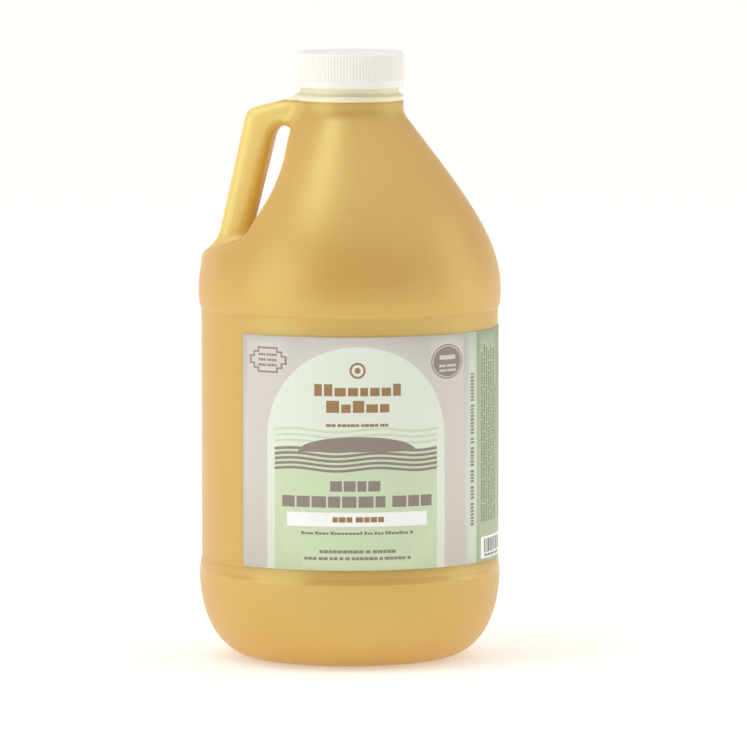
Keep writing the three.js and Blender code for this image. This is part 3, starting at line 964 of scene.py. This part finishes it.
# Window-like lights, as (name, place, size, watts, colour)
LIGHTS = [
    ("left_window", (-0.965, -0.9, 0.54), (1.1, 1.0), 3.4, (1, 1, 1)),
    ("left_skylight", (-0.5, -0.5, 1.7), (0.5, 0.7), 3.2, (1, 1, 1)),
    ("right_fill", (1.35, 0.45, 0.5), (0.9, 1.2), 2.8, (1, 0.95, 0.87)),
]
CAMERA_AZIMUTH, CAMERA_ELEVATION = math.radians(10), math.radians(5.3)
CAMERA_DISTANCE, CAMERA_AIM_Z, CAMERA_SHIFT = 4.0, 0.142, 0.0120
FOCAL_LENGTH, SENSOR_WIDTH, CLIP_END = 380.95, 36, 50


def area_light(name, place, size, power, colour):
    light = bpy.data.lights.new(name, "AREA")
    light.shape = "RECTANGLE"
    light.size, light.size_y = size
    light.energy = power
    light.color = colour
    holder = bpy.data.objects.new(name, light)
    holder.location = place
    holder.rotation_euler = (Vector(place) - Vector(LIGHT_AIM)).to_track_quat("Z", "Y").to_euler()
    bpy.context.scene.collection.objects.link(holder)


def white_room():
    """A white surround, brightest overhead and at the horizon, and dimmer in front, by the camera."""
    world = bpy.data.worlds.new("white_surround")
    world.use_nodes = True
    n = Nodes(world.node_tree)
    direction = n.add("ShaderNodeTexCoord").outputs["Generated"]
    forward = n.add("ShaderNodeVectorMath", operation="DOT_PRODUCT")
    n.feed(forward.inputs[0], direction)
    n.feed(forward.inputs[1], FRONT_DIRECTION)
    separate = n.add("ShaderNodeSeparateXYZ")
    n.feed(separate.inputs[0], direction)
    slant = n.math("ABSOLUTE", separate.outputs["Z"])
    overhead = n.ramp(slant, (0.35, 1.0), (ROOM_LIGHT, CEILING_LIGHT))
    around = n.ramp(slant, (0.06, 0.16), (HORIZON_LIGHT, overhead))
    strength = n.ramp(forward.outputs["Value"], (0.2, 1.0), (around, FRONT_LIGHT), "SMOOTHSTEP")
    background = n.tree.nodes["Background"]
    n.feed(background.inputs["Color"], (1, 1, 1))
    n.feed(background.inputs["Strength"], strength)
    return world


def build_stage():
    """A plain pale floor, a white surround and three window-like lights."""
    white = Surface("stage_white")
    white.set(Base_Color=(0.86, 0.845, 0.815), Roughness=0.9, Specular_IOR_Level=0.1,
              Emission_Color=(1.0, 0.99, 0.97), Emission_Strength=0.34)
    r = FLOOR_REACH
    corners = [(-r, -r, 0), (r, -r, 0), (r, r, 0), (-r, r, 0)]
    floor = make_object("floor", corners, [(0, 1, 2, 3)], [white.material])
    floor.location.z = -FLOOR_DROP
    bpy.context.scene.world = white_room()
    for light in LIGHTS:
        area_light(*light)


def build_camera():
    """The photo's view: a long lens, from a little to the right and a little above."""
    right = Vector((math.cos(CAMERA_AZIMUTH), math.sin(CAMERA_AZIMUTH), 0))
    away = Vector((math.sin(CAMERA_AZIMUTH) * math.cos(CAMERA_ELEVATION),
                   -math.cos(CAMERA_AZIMUTH) * math.cos(CAMERA_ELEVATION), math.sin(CAMERA_ELEVATION)))
    lens = bpy.data.cameras.new("camera")
    lens.lens = FOCAL_LENGTH
    lens.sensor_width = SENSOR_WIDTH
    lens.clip_end = CLIP_END
    camera = bpy.data.objects.new("camera", lens)
    camera.location = Vector((0, 0, CAMERA_AIM_Z)) + CAMERA_SHIFT * right + CAMERA_DISTANCE * away
    camera.rotation_euler = away.to_track_quat("Z", "Y").to_euler()
    bpy.context.scene.collection.objects.link(camera)
    bpy.context.scene.camera = camera


build_camera()
build_stage()
bpy.context.scene.view_settings.view_transform = "Standard"

jug_body = build_jug()
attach(jug_body, "jug")
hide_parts("jug_shell")

label = build_label()
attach(label, "jug")
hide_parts("wrap_label")

cap = build_cap()
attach(cap, "cap")
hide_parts("cap_shell")

disc = build_liner()
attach(disc, "liner")
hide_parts("cap_liner")

oil_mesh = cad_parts["massage_oil"].data
oil_mesh.materials.clear()
oil_mesh.materials.append(oil_surface())
